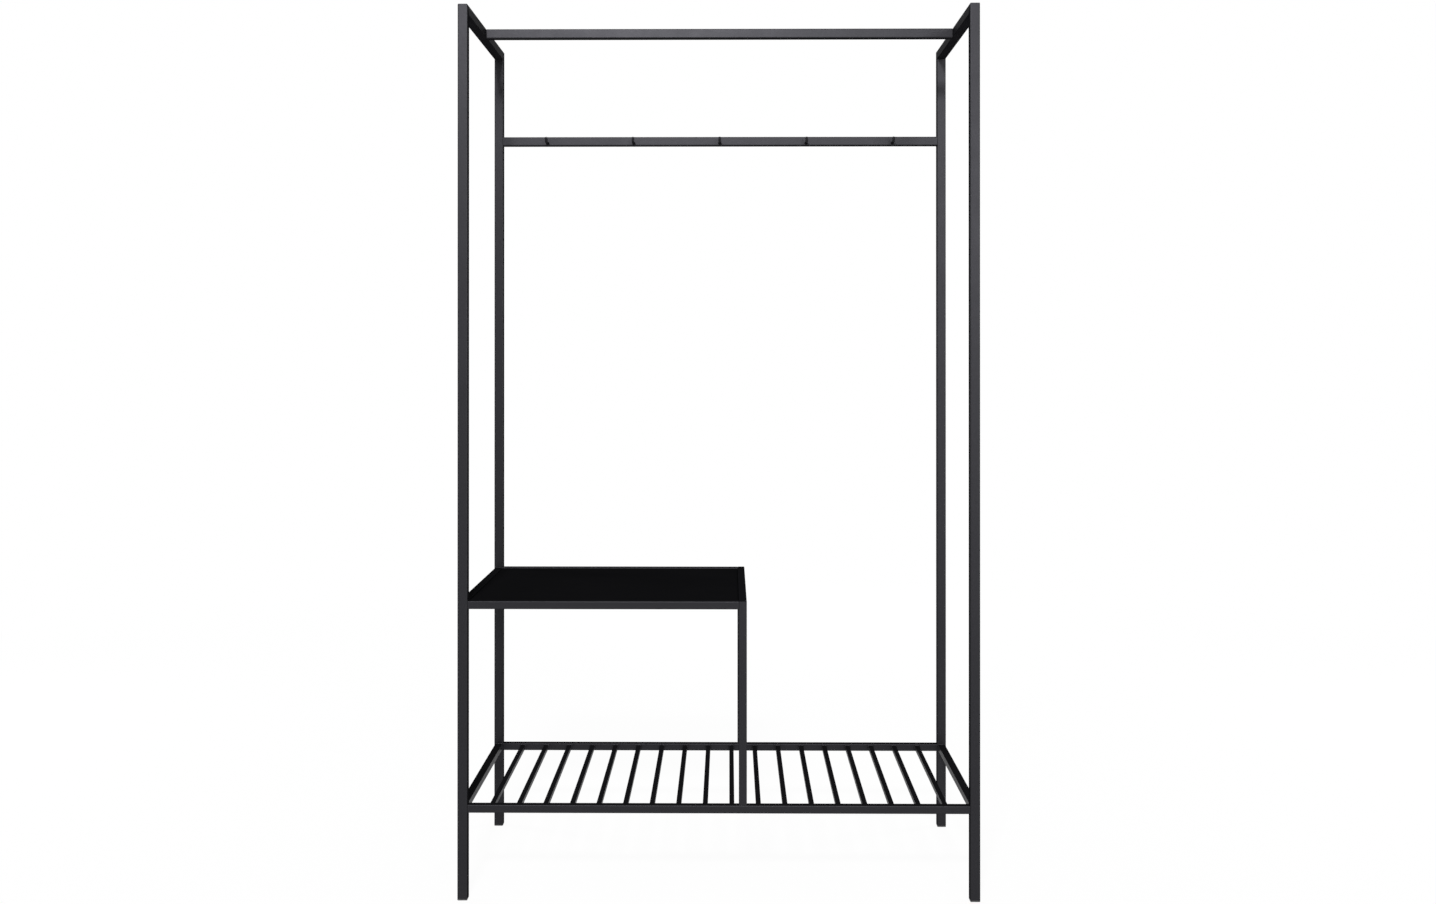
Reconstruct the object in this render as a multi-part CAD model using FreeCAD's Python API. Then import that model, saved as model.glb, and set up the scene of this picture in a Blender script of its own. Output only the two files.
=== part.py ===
import FreeCAD, Part
import math
import os

from FreeCAD import Placement, Rotation, Vector

# Clothes rack with shelves, in millimetres.
# X runs to the right, Y to the back and Z up. The origin is on the floor, under the middle of the rack.
# Two welded side frames carry a hanging bar, a hook rail, a raised shelf on the left and a slatted shelf
# across the whole width. Countersunk bolts through the side frames hold the cross pieces.

# Overall size, over the posts
rack_width = 1048.0
rack_depth = 450.0
rack_height = 1800.0

# Square steel tube of the posts, the side top rails, the hanging bar and the hook rail
frame_tube = 20.0
frame_wall = 1.5
frame_corner = 2.0

# Square steel tube of both shelf frames and of the divider
shelf_tube = 16.0
shelf_wall = 1.2
shelf_corner = 1.7

# Square steel tube of the slats, whose small corners are drawn as flats
slat_tube = 10.0
slat_wall = 1.0
slat_corner = 0.8

# Upper faces of the cross pieces: the hook rail's under the top of the rack, the shelves' over the floor
hook_rail_drop = 200.0
raised_shelf_top = 600.0
slatted_shelf_top = 191.0

# Middle plane of the divider, to the right of the middle of the rack
divider_offset = 49.0

# Slatted shelf and hooks
slat_count = 18
hook_count = 5
hook_pitch = 200.0

# Hook of round steel rod, measured on the middle line of the rod
hook_rod = 6.0
hook_reach = 27.0
hook_rise = 11.0
hook_bend = 8.0
hook_drop = 5.0

# Folded steel plate of the raised shelf
plate_sheet = 1.5
plate_flange = 9.0
plate_bend = 2.5
plate_recess = 2.0
plate_notch_clearance = 1.0

# Countersunk socket bolts and the threaded plugs in the ends of the cross pieces
bolt_diameter = 6.0
bolt_head_diameter = 12.0
post_bolt_length = 30.0
divider_bolt_length = 25.0
socket_across_flats = 4.0
socket_depth = 2.2
bolt_hole_clearance = 0.5
bolt_hole_overrun = 1.0
thread_clearance = 0.2
plug_length = 12.0

# Sides of the polygons that stand for the small circles of the bolts, their holes and the plugs' bores
fastener_sides = 12

# Plastic foot plugs of the posts
foot_flange = 3.0
foot_stem = 16.0
foot_stem_taper = 0.6
foot_clearance = 0.2

# Middle lines shared by the pieces that line up
post_x = (rack_width - frame_tube) / 2
post_y = (rack_depth - frame_tube) / 2
side_inner_x = rack_width / 2 - frame_tube
side_inner_y = rack_depth / 2 - frame_tube
top_rail_z = rack_height - frame_tube / 2
hook_rail_z = rack_height - hook_rail_drop - frame_tube / 2
raised_shelf_z = raised_shelf_top - shelf_tube / 2
slatted_shelf_z = slatted_shelf_top - shelf_tube / 2
shelf_face_x = post_x - shelf_tube / 2
shelf_face_y = post_y - shelf_tube / 2
divider_left_x = divider_offset - shelf_tube / 2

along_x = Vector(1, 0, 0)
along_z = Vector(0, 0, 1)

# Size of the wedge that cuts a mitre, in widths of the tube
mitre_wedge_scale = 3


def square_outline(size, corner=0, rounded=True):
    """Closed wire of a square in the XY plane, centred on the origin, with round, flat or sharp corners."""
    edges = []
    side = size / 2
    straight = side - corner
    for quarter in range(4):
        turn = Rotation(along_z, 90 * quarter)
        start = turn.multVec(Vector(side, -straight, 0))
        end = turn.multVec(Vector(side, straight, 0))
        edges.append(Part.LineSegment(start, end).toShape())
        if corner > 0:
            next_start = turn.multVec(Vector(straight, side, 0))
            on_bend = straight + corner * math.sqrt(0.5)
            middle = turn.multVec(Vector(on_bend, on_bend, 0))
            bend = Part.Arc(end, middle, next_start) if rounded else Part.LineSegment(end, next_start)
            edges.append(bend.toShape())
    return Part.Wire(edges)


def square_tube(size, wall, corner, start, end, rounded=True):
    """Open square tube from start to end, both on its middle line, with its sides square to the axes."""
    outer = Part.Face(square_outline(size, corner, rounded))
    bore = Part.Face(square_outline(size - 2 * wall))
    run = end - start
    tube = outer.cut(bore).extrude(Vector(0, 0, run.Length))
    tube.Placement = Placement(start, Rotation(along_z, run))
    return tube


def frame_piece(start, end):
    return square_tube(frame_tube, frame_wall, frame_corner, start, end)


def shelf_piece(start, end):
    return square_tube(shelf_tube, shelf_wall, shelf_corner, start, end)


def mitre(tube, size, x, outer_y, outer_z, toward_y, toward_z):
    """Cut a tube at 45 degrees in the plane of its frame.

    The cut runs from the outer corner of the frame to the inner one. The corner between them that lies
    toward_y and toward_z of their middle is on the side that is cut away. The wedge that cuts is larger
    than the end of the tube on every side.
    """
    inward = -math.copysign(size, outer_y)
    outer = Vector(x - size, outer_y, outer_z)
    inner = Vector(x - size, outer_y + inward, outer_z - size)
    middle = (outer + inner) * 0.5
    removed = middle + Vector(0, toward_y, toward_z) * (size / 2)
    corners = [middle + (point - middle) * mitre_wedge_scale for point in (outer, inner, removed)]
    wedge = Part.Face(Part.makePolygon(corners + corners[:1])).extrude(Vector(2 * size, 0, 0))
    return tube.cut(wedge)


def polygon(radius, height, sides):
    """Closed wire of a regular polygon round the Z axis, with its corners at the radius."""
    turn = Rotation(along_z, 360 / sides)
    corners = [Vector(radius, 0, height)]
    for _ in range(sides):
        corners.append(turn.multVec(corners[-1]))
    corners[-1] = corners[0]
    return Part.makePolygon(corners)


def turned(stations):
    """Solid round the Z axis through polygons, which are given as pairs of a radius and a height."""
    sections = [polygon(radius, height, fastener_sides) for radius, height in stations]
    return Part.makeLoft(sections, True, True)


def bolt(length):
    """Countersunk bolt along +Z, with the flat of its head on the XY plane and a hexagon socket in it."""
    shank = bolt_diameter / 2
    head = bolt_head_diameter / 2
    body = turned([(head, 0), (shank, head - shank), (shank, length)])
    socket = Part.Face(polygon(socket_across_flats / math.sqrt(3), 0, 6)).extrude(Vector(0, 0, socket_depth))
    return body.cut(socket)


def bolt_hole(through):
    """Cutter along +Z for a countersunk bolt that passes a tube of the given size."""
    radius = (bolt_diameter + bolt_hole_clearance) / 2
    head = bolt_head_diameter / 2
    return turned([(head, 0), (radius, head - radius), (radius, through + bolt_hole_overrun)])


def threaded_plug(size, wall):
    """Square steel plug for the end of a tube, along +Z from the XY plane, with its threaded bore."""
    block = Part.Face(square_outline(size - 2 * wall)).extrude(Vector(0, 0, plug_length))
    radius = (bolt_diameter + thread_clearance) / 2
    return block.cut(turned([(radius, 0), (radius, plug_length)]))


def placed(shape, point, direction):
    """Copy of a shape that was made along +Z, moved to a point and turned to a direction."""
    copy = shape.copy()
    copy.Placement = Placement(point, Rotation(along_z, direction))
    return copy


class Seat:
    """One bolted joint: where the bolt head lies, which way the bolt runs, and what it passes and holds."""

    def __init__(self, point, direction, passed_tube, bolt_length, held):
        self.point = point
        self.direction = direction
        self.passed_tube = passed_tube
        self.bolt_length = bolt_length
        self.held = held

    def hole(self):
        return placed(bolt_hole(self.passed_tube), self.point, self.direction)

    def bolt(self):
        return placed(bolt(self.bolt_length), self.point, self.direction)

    def plug(self):
        tube_end = self.point + self.direction * self.passed_tube
        return placed(threaded_plug(*self.held), tube_end, self.direction)


frame_bore = (frame_tube, frame_wall)
shelf_bore = (shelf_tube, shelf_wall)


def side_seat(side, y, z, held):
    """Bolt that passes a side frame on the left, side -1, or on the right, side 1."""
    return Seat(Vector(side * rack_width / 2, y, z), along_x * -side, frame_tube, post_bolt_length, held)


# Bolted joints, by the piece that each bolt passes
post_seats = {
    "left_front_post": [
        side_seat(-1, -post_y, slatted_shelf_z, shelf_bore),
        side_seat(-1, -post_y, raised_shelf_z, shelf_bore),
    ],
    "left_back_post": [
        side_seat(-1, post_y, slatted_shelf_z, shelf_bore),
        side_seat(-1, post_y, raised_shelf_z, shelf_bore),
        side_seat(-1, post_y, hook_rail_z, frame_bore),
    ],
    "right_front_post": [side_seat(1, -post_y, slatted_shelf_z, shelf_bore)],
    "right_back_post": [
        side_seat(1, post_y, slatted_shelf_z, shelf_bore),
        side_seat(1, post_y, hook_rail_z, frame_bore),
    ],
}
top_rail_seats = {
    "left_top_rail": [side_seat(-1, 0, top_rail_z, frame_bore)],
    "right_top_rail": [side_seat(1, 0, top_rail_z, frame_bore)],
}
divider_seats = {}
for name, y in (("slatted_shelf_front_rail", -post_y), ("slatted_shelf_back_rail", post_y)):
    underside = Vector(divider_offset, y, slatted_shelf_top - shelf_tube)
    divider_seats[name] = [Seat(underside, along_z, shelf_tube, divider_bolt_length, shelf_bore)]


def drilled(tube, seats):
    """Tube with the countersunk holes of its bolts."""
    for seat in seats:
        tube = tube.cut(seat.hole())
    return tube


def side_posts(pieces):
    """Four posts, cut at 45 degrees at the top, where the side top rails join them."""
    for side_name, side in (("left", -1), ("right", 1)):
        for end_name, end in (("front", -1), ("back", 1)):
            name = f"{side_name}_{end_name}_post"
            x = side * post_x
            y = end * post_y
            post = frame_piece(Vector(x, y, foot_flange), Vector(x, y, rack_height))
            post = mitre(post, frame_tube, x, end * rack_depth / 2, rack_height, -end, 1)
            pieces[name] = drilled(post, post_seats[name])


def side_rails(pieces):
    """Rails of the two side frames, which run from the front post to the back one."""
    for side_name, side in (("left", -1), ("right", 1)):
        x = side * post_x
        name = f"{side_name}_top_rail"
        rail_start = Vector(x, -rack_depth / 2, top_rail_z)
        rail_end = Vector(x, rack_depth / 2, top_rail_z)
        rail = frame_piece(rail_start, rail_end)
        for end in (-1, 1):
            rail = mitre(rail, frame_tube, x, end * rack_depth / 2, rack_height, end, -1)
        pieces[name] = drilled(rail, top_rail_seats[name])
        rail_start = Vector(x, -side_inner_y, slatted_shelf_z)
        rail_end = Vector(x, side_inner_y, slatted_shelf_z)
        pieces[f"{side_name}_bottom_side_rail"] = shelf_piece(rail_start, rail_end)
    rail_start = Vector(-post_x, -side_inner_y, raised_shelf_z)
    rail_end = Vector(-post_x, side_inner_y, raised_shelf_z)
    pieces["left_raised_side_rail"] = shelf_piece(rail_start, rail_end)


def upper_cross_pieces(pieces):
    """Hanging bar between the side top rails, and hook rail between the back posts."""
    for name, y, z in (("hanging_bar", 0, top_rail_z), ("hook_rail", post_y, hook_rail_z)):
        start = Vector(-side_inner_x, y, z)
        end = Vector(side_inner_x, y, z)
        pieces[name] = frame_piece(start, end)


def coat_hook(x):
    """Round rod that leaves the front face of the hook rail and bends up at its end."""
    root = Vector(x, side_inner_y, hook_rail_z - hook_drop)
    bend_start = root + Vector(0, hook_bend - hook_reach, 0)
    bend_centre = bend_start + Vector(0, 0, hook_bend)
    bend_middle = bend_centre - Vector(0, hook_bend, hook_bend) * math.sqrt(0.5)
    bend_end = bend_centre - Vector(0, hook_bend, 0)
    tip = Vector(x, root.y - hook_reach, root.z + hook_rise)
    path = Part.Wire([
        Part.LineSegment(root, bend_start).toShape(),
        Part.Arc(bend_start, bend_middle, bend_end).toShape(),
        Part.LineSegment(bend_end, tip).toShape(),
    ])
    section = Part.Wire(Part.makeCircle(hook_rod / 2, root, Vector(0, -1, 0)))
    return path.makePipeShell([section], True, False)


def coat_hooks(pieces):
    """Hooks at an even pitch on the hook rail, about the middle of the rack, each a solid of its own."""
    places = [(number - (hook_count - 1) / 2) * hook_pitch for number in range(hook_count)]
    pieces["coat_hooks"] = Part.makeCompound([coat_hook(x) for x in places])


def slatted_shelf(pieces):
    """Front and back rails between the posts, with slats spaced evenly between the side rails."""
    for name, y in (("slatted_shelf_front_rail", -post_y), ("slatted_shelf_back_rail", post_y)):
        start = Vector(-side_inner_x, y, slatted_shelf_z)
        end = Vector(side_inner_x, y, slatted_shelf_z)
        pieces[name] = drilled(shelf_piece(start, end), divider_seats[name])
    clear_width = 2 * shelf_face_x
    gap = (clear_width - slat_count * slat_tube) / (slat_count + 1)
    for number in range(slat_count):
        x = -shelf_face_x + gap + slat_tube / 2 + number * (slat_tube + gap)
        start = Vector(x, -shelf_face_y, slatted_shelf_z)
        end = Vector(x, shelf_face_y, slatted_shelf_z)
        slat = square_tube(slat_tube, slat_wall, slat_corner, start, end, rounded=False)
        pieces[f"slat_{number + 1:02d}"] = slat


def divider(pieces):
    """Upside-down U of three mitred tubes, which stands on the slatted shelf and ends the raised one."""
    outer_y = post_y + shelf_tube / 2
    for name, end in (("divider_front_post", -1), ("divider_back_post", 1)):
        y = end * post_y
        foot = Vector(divider_offset, y, slatted_shelf_top)
        post = shelf_piece(foot, Vector(divider_offset, y, raised_shelf_top))
        pieces[name] = mitre(post, shelf_tube, divider_offset, end * outer_y, raised_shelf_top, -end, 1)
    rail_start = Vector(divider_offset, -outer_y, raised_shelf_z)
    rail_end = Vector(divider_offset, outer_y, raised_shelf_z)
    rail = shelf_piece(rail_start, rail_end)
    for end in (-1, 1):
        rail = mitre(rail, shelf_tube, divider_offset, end * outer_y, raised_shelf_top, end, -1)
    pieces["divider_top_rail"] = rail


def arch(width, height, bend):
    """Face in the XZ plane of a rectangle that stands on the X axis, with its two upper corners rounded."""
    side = width / 2
    straight = side - bend
    on_bend = bend * math.sqrt(0.5)
    left_middle = Vector(-straight - on_bend, 0, height - bend + on_bend)
    right_middle = Vector(straight + on_bend, 0, height - bend + on_bend)
    foot_left, foot_right = Vector(-side, 0, 0), Vector(side, 0, 0)
    bend_left, bend_right = Vector(-side, 0, height - bend), Vector(side, 0, height - bend)
    top_left, top_right = Vector(-straight, 0, height), Vector(straight, 0, height)
    outline = [
        Part.LineSegment(foot_left, bend_left),
        Part.Arc(bend_left, left_middle, top_left),
        Part.LineSegment(top_left, top_right),
        Part.Arc(top_right, right_middle, bend_right),
        Part.LineSegment(bend_right, foot_right),
        Part.LineSegment(foot_right, foot_left),
    ]
    return Part.Face(Part.Wire([edge.toShape() for edge in outline]))


def folded_sheet(width, length):
    """Sheet along the Y axis with a flange folded down along each long side, standing on the XY plane."""
    outer = arch(width, plate_flange, plate_bend)
    inner = arch(width - 2 * plate_sheet, plate_flange - plate_sheet, plate_bend - plate_sheet)
    sheet = outer.cut(inner).extrude(Vector(0, length, 0))
    sheet.translate(Vector(0, -length / 2, 0))
    return sheet


def shelf_plate(width, depth):
    """Plate with four folded flanges, notched at its corners so that they clear the posts."""
    notch = (frame_tube - shelf_tube) / 2 + plate_notch_clearance
    across = folded_sheet(width, depth - 2 * notch)
    along = folded_sheet(depth, width - 2 * notch)
    along.rotate(Vector(0, 0, 0), along_z, 90)
    return across.fuse(along).removeSplitter()


def raised_shelf(pieces):
    """Front and back rails from the left posts to the divider, and the folded plate between the rails."""
    for name, y in (("raised_shelf_front_rail", -post_y), ("raised_shelf_back_rail", post_y)):
        start = Vector(-side_inner_x, y, raised_shelf_z)
        end = Vector(divider_left_x, y, raised_shelf_z)
        pieces[name] = shelf_piece(start, end)
    plate = shelf_plate(divider_left_x + shelf_face_x, 2 * shelf_face_y)
    middle_x = (divider_left_x - shelf_face_x) / 2
    plate.translate(Vector(middle_x, 0, raised_shelf_top - plate_recess - plate_flange))
    pieces["raised_shelf_plate"] = plate


def foot_plug(x, y):
    """Plastic plug with a flange the size of the post, with flat corners, and a tapered stem inside it."""
    outline = square_outline(frame_tube, frame_corner, rounded=False)
    flange = Part.Face(outline).extrude(Vector(0, 0, foot_flange))
    side = frame_tube - 2 * frame_wall - 2 * foot_clearance
    lower = square_outline(side)
    upper = square_outline(side - foot_stem_taper)
    upper.translate(Vector(0, 0, foot_stem))
    stem = Part.makeLoft([lower, upper], True, True)
    stem.translate(Vector(0, 0, foot_flange))
    plug = flange.fuse(stem)
    plug.translate(Vector(x, y, 0))
    return plug


def feet(pieces):
    for side_name, side in (("left", -1), ("right", 1)):
        for end_name, end in (("front", -1), ("back", 1)):
            pieces[f"{side_name}_{end_name}_foot"] = foot_plug(side * post_x, end * post_y)


def fasteners(pieces):
    """Bolts, and the plugs that they screw into, grouped by kind."""
    post_joints = [seat for seats in post_seats.values() for seat in seats]
    top_joints = [seat for seats in top_rail_seats.values() for seat in seats]
    divider_joints = [seat for seats in divider_seats.values() for seat in seats]
    every_joint = post_joints + top_joints + divider_joints
    pieces["post_bolts"] = Part.makeCompound([seat.bolt() for seat in post_joints])
    pieces["hanging_bar_bolts"] = Part.makeCompound([seat.bolt() for seat in top_joints])
    pieces["divider_bolts"] = Part.makeCompound([seat.bolt() for seat in divider_joints])
    for name, section in (("frame_tube_plugs", frame_bore), ("shelf_tube_plugs", shelf_bore)):
        plugs = [seat.plug() for seat in every_joint if seat.held is section]
        pieces[name] = Part.makeCompound(plugs)


def rack():
    """Every piece of the rack, by name."""
    pieces = {}
    side_posts(pieces)
    side_rails(pieces)
    upper_cross_pieces(pieces)
    coat_hooks(pieces)
    slatted_shelf(pieces)
    divider(pieces)
    raised_shelf(pieces)
    feet(pieces)
    fasteners(pieces)
    return pieces


os.makedirs("parts", exist_ok=True)
for name, shape in rack().items():
    shape.exportStep(f"parts/{name}.step")
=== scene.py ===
"""Clothes rack with shelves: coats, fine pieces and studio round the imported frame."""

import math

import bmesh
import bpy
from bpy.props import FloatProperty, FloatVectorProperty, IntProperty, PointerProperty
from mathutils import Matrix, Vector


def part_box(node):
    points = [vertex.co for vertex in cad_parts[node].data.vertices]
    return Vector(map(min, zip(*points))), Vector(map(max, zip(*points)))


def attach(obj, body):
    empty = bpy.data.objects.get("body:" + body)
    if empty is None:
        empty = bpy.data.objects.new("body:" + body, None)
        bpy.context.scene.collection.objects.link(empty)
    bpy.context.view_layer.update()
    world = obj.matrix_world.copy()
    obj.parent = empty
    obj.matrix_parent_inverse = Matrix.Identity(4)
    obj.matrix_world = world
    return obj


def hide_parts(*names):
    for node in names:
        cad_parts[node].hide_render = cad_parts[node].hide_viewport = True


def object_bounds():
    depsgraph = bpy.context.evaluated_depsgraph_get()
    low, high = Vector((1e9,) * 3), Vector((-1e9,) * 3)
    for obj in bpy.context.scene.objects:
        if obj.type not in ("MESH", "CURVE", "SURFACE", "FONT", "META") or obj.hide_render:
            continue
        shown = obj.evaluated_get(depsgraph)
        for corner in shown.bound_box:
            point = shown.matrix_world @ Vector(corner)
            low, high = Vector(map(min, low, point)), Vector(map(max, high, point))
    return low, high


bl_info = {
    "name": "Clothes Rack with Shelves",
    "version": (1, 0, 0),
    "blender": (4, 5, 0),
    "location": "View3D > Sidebar > Clothes Rack",
    "description": "Gives a clothes rack of square steel tube its coats, slats, hooks, bolts, feet and welds",
    "category": "Object",
}

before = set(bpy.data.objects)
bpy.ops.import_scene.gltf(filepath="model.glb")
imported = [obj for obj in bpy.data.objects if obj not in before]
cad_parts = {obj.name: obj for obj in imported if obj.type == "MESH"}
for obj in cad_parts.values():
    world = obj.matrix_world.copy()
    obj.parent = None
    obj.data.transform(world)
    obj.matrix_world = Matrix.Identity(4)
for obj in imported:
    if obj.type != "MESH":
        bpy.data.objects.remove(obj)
cad_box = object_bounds()
body = "root"
mm = 0.001
quarter_turn = math.pi / 2
sixth_turn = math.pi / 3
plain_white = (1.0, 1.0, 1.0, 1.0)

# Points of a mesh that are nearer to each other than this are one point
touching = 0.001 * mm

# Spacing of the sections along a hook's rod
rod_step = 0.4 * mm

# Attribute of a seat that holds the direction of the copy on it
heading_name = "heading"

# Slots of the record, handed to each piece as it settles but not read here
tube_slot = "black_powder_coat"
foot_slot = "foot_plastic"
bolt_slot = "bolt_steel"

# Nodes of the frame, by what they are
all_nodes = sorted(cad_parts)
slat_nodes = [name for name in all_nodes if name.startswith("slat_")]
foot_nodes = [name for name in all_nodes if name.endswith("_foot")]
bolt_nodes = [name for name in all_nodes if name.endswith("_bolts")]
plug_nodes = [name for name in all_nodes if name.endswith("_plugs")]
side_rail_nodes = [name for name in all_nodes if name.endswith("side_rail")]
hook_node = "coat_hooks"
plate_node = "raised_shelf_plate"
other_nodes = slat_nodes + foot_nodes + bolt_nodes + plug_nodes + [hook_node, plate_node]
tube_nodes = [name for name in all_nodes if name not in other_nodes]
shelf_side_nodes = [name for name in side_rail_nodes if "bottom" in name]
top_rail_nodes = ["left_top_rail", "right_top_rail"]

# Names of the coats of the tubes and hooks
plain_coat = "Black Powder Coat"
shelf_coat = "Black Powder Coat of the Shelf"
top_coat = "Black Powder Coat of the Top"
hook_coat = "Black Powder Coat of the Hooks"


def middle(node):
    """Middle of a node's box."""
    low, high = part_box(node)
    return (low + high) / 2


# Sizes and places that the frame settles
slat_low, slat_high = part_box(slat_nodes[0])
slat_pitch = (middle(slat_nodes[-1]).x - middle(slat_nodes[0]).x) / (len(slat_nodes) - 1)
hook_low, hook_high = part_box(hook_node)
hook_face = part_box("hook_rail")[0].y
foot_low, foot_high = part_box(foot_nodes[0])


class Socket:
    """One output of a node. Arithmetic on it adds a Math node to the same tree."""

    def __init__(self, graph, plug):
        self.graph = graph
        self.plug = plug

    def maths(self, operation, *values):
        """Result of a Math node on these values."""
        return self.graph.add("ShaderNodeMath", {"operation": operation}, dict(enumerate(values)))

    def __add__(self, value):
        return self.maths("ADD", self, value)

    def __sub__(self, value):
        return self.maths("SUBTRACT", self, value)

    def __rsub__(self, value):
        return self.maths("SUBTRACT", value, self)

    def __mul__(self, value):
        return self.maths("MULTIPLY", self, value)

    def __truediv__(self, value):
        return self.maths("DIVIDE", self, value)

    def __rtruediv__(self, value):
        return self.maths("DIVIDE", value, self)

    def __pow__(self, value):
        return self.maths("POWER", self, value)

    def least(self, value):
        return self.maths("MINIMUM", self, value)

    def most(self, value):
        return self.maths("MAXIMUM", self, value)

    __radd__ = __add__
    __rmul__ = __mul__


class Graph:
    """Adds nodes to a shader or geometry tree and links them."""

    def __init__(self, tree):
        self.tree = tree

    @staticmethod
    def pick(sockets, key):
        """Socket by its number, or the first one in use with that name."""
        if isinstance(key, int):
            return sockets[key]
        return next(socket for socket in sockets if socket.name == key and socket.enabled)

    def add(self, kind, settings=None, sockets=None, output=None):
        """Add a node, set its settings and then its sockets' values or links, and return one output."""
        node = self.tree.nodes.new(kind)
        for name, value in (settings or {}).items():
            if name == "stops":
                self.set_stops(node.color_ramp, value)
            else:
                setattr(node, name, value)
        for key, value in (sockets or {}).items():
            plug = self.pick(node.inputs, key)
            for item in value if isinstance(value, list) else [value]:
                if isinstance(item, Socket):
                    self.tree.links.new(item.plug, plug)
                else:
                    plug.default_value = item
        used = [plug for plug in node.outputs if plug.enabled]
        if not used:
            return None
        return Socket(self, used[0] if output is None else self.pick(node.outputs, output))

    @staticmethod
    def set_stops(ramp, stops):
        """Give a ramp its stops, as pairs of a place and a grey."""
        while len(ramp.elements) < len(stops):
            ramp.elements.new(1.0)
        for element, (place, grey) in zip(ramp.elements, stops):
            element.position = place
            element.color = (grey, grey, grey, 1.0)

    def rise(self, factor, start, end, low=0.0):
        """Grey that rises from low to 1 while a factor goes from start to end."""
        stops = [(start, low), (end, 1.0)]
        return self.add("ShaderNodeValToRGB", {"stops": stops}, {"Fac": factor})

    def noise(self, place, spacing, detail=2.0, roughness=0.5):
        """Soft noise from 0 to 1 with features about one spacing apart."""
        values = {"Vector": place, "Scale": 1.0 / spacing, "Detail": detail, "Roughness": roughness}
        return self.add("ShaderNodeTexNoise", {"noise_dimensions": "3D"}, values)

    def blend(self, factor, first, second):
        """Colour between two colours."""
        settings = {"data_type": "RGBA", "blend_type": "MIX"}
        return self.add("ShaderNodeMix", settings, {"Factor": factor, "A": first, "B": second})

    def vector(self, x=0.0, y=0.0, z=0.0):
        """Vector of three numbers or sockets."""
        return self.add("ShaderNodeCombineXYZ", {}, {"X": x, "Y": y, "Z": z})

    def mixed(self, factor, first, second):
        """Mix of two shaders."""
        return self.add("ShaderNodeMixShader", {}, {0: factor, 1: first, 2: second})


def rgba(colour, factor=1.0):
    """Four numbers of a colour, made lighter or darker by a factor."""
    return (*[min(1.0, part * factor) for part in colour], 1.0)


def new_material(name):
    """Empty node material, with its graph and its Object coordinates."""
    material = bpy.data.materials.new(name)
    material.use_nodes = True
    material.node_tree.nodes.clear()
    graph = Graph(material.node_tree)
    return material, graph, graph.add("ShaderNodeTexCoord", {}, {}, "Object")


def show_shader(graph, shader):
    """Make a shader the material's surface."""
    graph.add("ShaderNodeOutputMaterial", {}, {"Surface": shader})


def bumped(graph, height, depth):
    """Normal for a height from 0 to 1 that stands for this depth."""
    return graph.add("ShaderNodeBump", {}, {"Height": height, "Distance": depth})


def varied(graph, tone, colour, darkest, lightest):
    """Colour that goes from a darker to a lighter one with a tone."""
    return graph.blend(tone, rgba(colour, darkest), rgba(colour, lightest))


def swing(noise, amount):
    """Change by up to half an amount either way, with a noise from 0 to 1."""
    return (noise - 0.5) * amount


def powder_coat(name, colour, roughness, grain, wave, depth, gloss, side_sheen=0.0):
    """Baked black powder: a fine grain over slow waves. At a low angle it is matt, apart from the share
    of its shine that flat faces across X keep."""
    cloud_share = 0.6
    grain_share = 0.45
    cool_tint = (0.91, 0.90, 1.0, 1.0)
    material, graph, place = new_material(name)
    fine = graph.noise(place, grain, detail=2.0, roughness=0.6)
    slow = graph.noise(place, wave, detail=1.0, roughness=0.4)
    cloud = graph.noise(place, spacing=0.17, detail=3.0, roughness=0.55)
    cured = graph.noise(place, spacing=0.035)
    uneven = cloud * cloud_share + fine * (1.0 - cloud_share)
    tone = graph.rise(uneven, start=0.3, end=0.7)
    height = fine * grain_share + slow * (1.0 - grain_share)
    shared = {
        "Base Color": varied(graph, tone, colour, darkest=0.86, lightest=1.16),
        "Roughness": roughness + swing(cured, amount=0.10) + swing(fine, amount=0.12),
        "Normal": bumped(graph, height, depth),
    }
    shine = {"Specular IOR Level": gloss, "Specular Tint": cool_tint}
    satin = graph.add("ShaderNodeBsdfPrincipled", {}, {**shared, **shine})
    matt = graph.add("ShaderNodeBsdfPrincipled", {}, {**shared, "Specular IOR Level": 0.0})
    facing = graph.add("ShaderNodeLayerWeight", {}, {"Blend": 0.5}, "Facing")
    calm = graph.rise(facing, start=0.25, end=0.55)
    if side_sheen:
        outwards = graph.add("ShaderNodeTexCoord", {}, {}, "Normal")
        across = graph.add("ShaderNodeSeparateXYZ", {}, {"Vector": outwards}, "X")
        flat_side = graph.rise(across * across, start=0.95, end=0.995)
        calm = calm * (1.0 - flat_side * side_sheen)
    show_shader(graph, graph.mixed(calm, satin, matt))
    return material


def moulded_plastic(name, colour, roughness):
    """Black moulded plastic with a fine spark-eroded grain and light scuffs."""
    material, graph, place = new_material(name)
    fine = graph.noise(place, spacing=0.5 * mm, detail=2.0, roughness=0.6)
    scuff = graph.noise(place, spacing=6.0 * mm, detail=3.0, roughness=0.6)
    tone = graph.rise(scuff, start=0.35, end=0.75)
    values = {
        "Base Color": varied(graph, tone, colour, darkest=0.85, lightest=1.35),
        "Roughness": roughness + swing(scuff, amount=0.18),
        "Normal": bumped(graph, fine, depth=0.06 * mm),
        "Specular IOR Level": 0.3,
    }
    show_shader(graph, graph.add("ShaderNodeBsdfPrincipled", {}, values))
    return material


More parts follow.
